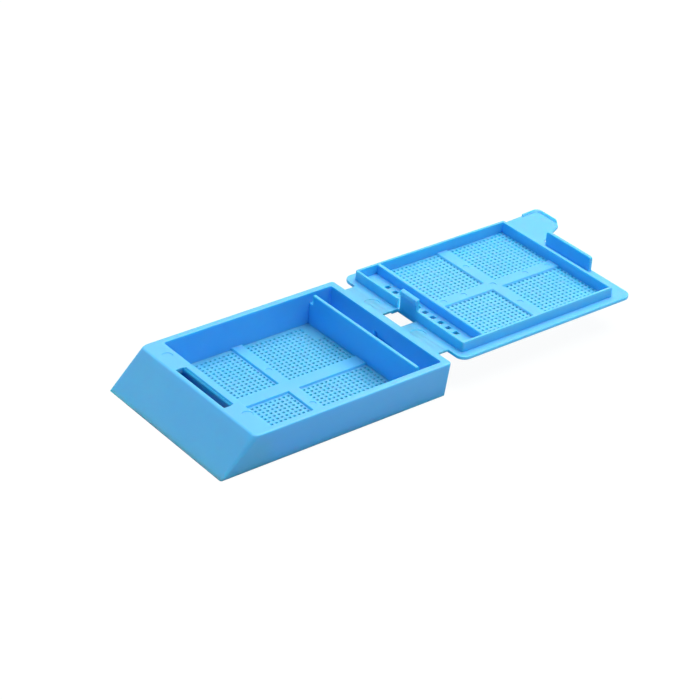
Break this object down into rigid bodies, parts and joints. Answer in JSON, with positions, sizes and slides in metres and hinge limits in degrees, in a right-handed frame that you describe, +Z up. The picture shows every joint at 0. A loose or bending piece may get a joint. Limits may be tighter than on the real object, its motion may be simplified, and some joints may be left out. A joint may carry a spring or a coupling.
{
  "type": "tissue cassette",
  "caption": "Open histology tissue cassette: a perforated tray with a sloping label panel, and a perforated snap lid on a living hinge, moulded in one piece.",
  "frame": {"origin": "the middle of the tray's flat underside", "axes": "+X from the label panel to the hinge and on along the open lid, +Y across to the thumb tab's side, +Z up"},
  "size_m": [0.0837, 0.029, 0.0091],
  "materials": {
    "sky_blue_plastic": "satin moulded acetal"
  },
  "bodies": {
    "tray": {"tray": "sky_blue_plastic"},
    "lid": {"lid": "sky_blue_plastic"}
  },
  "joints": [
    {"name": "living_hinge", "type": "hinge", "parent": "tray", "child": "lid", "pos_m": [0.02124, 0, 0.00562], "axis": [0, -1, 0], "range_deg": [0, 179.9], "stiffness_Nm_per_rad": 0.01}
  ]
}
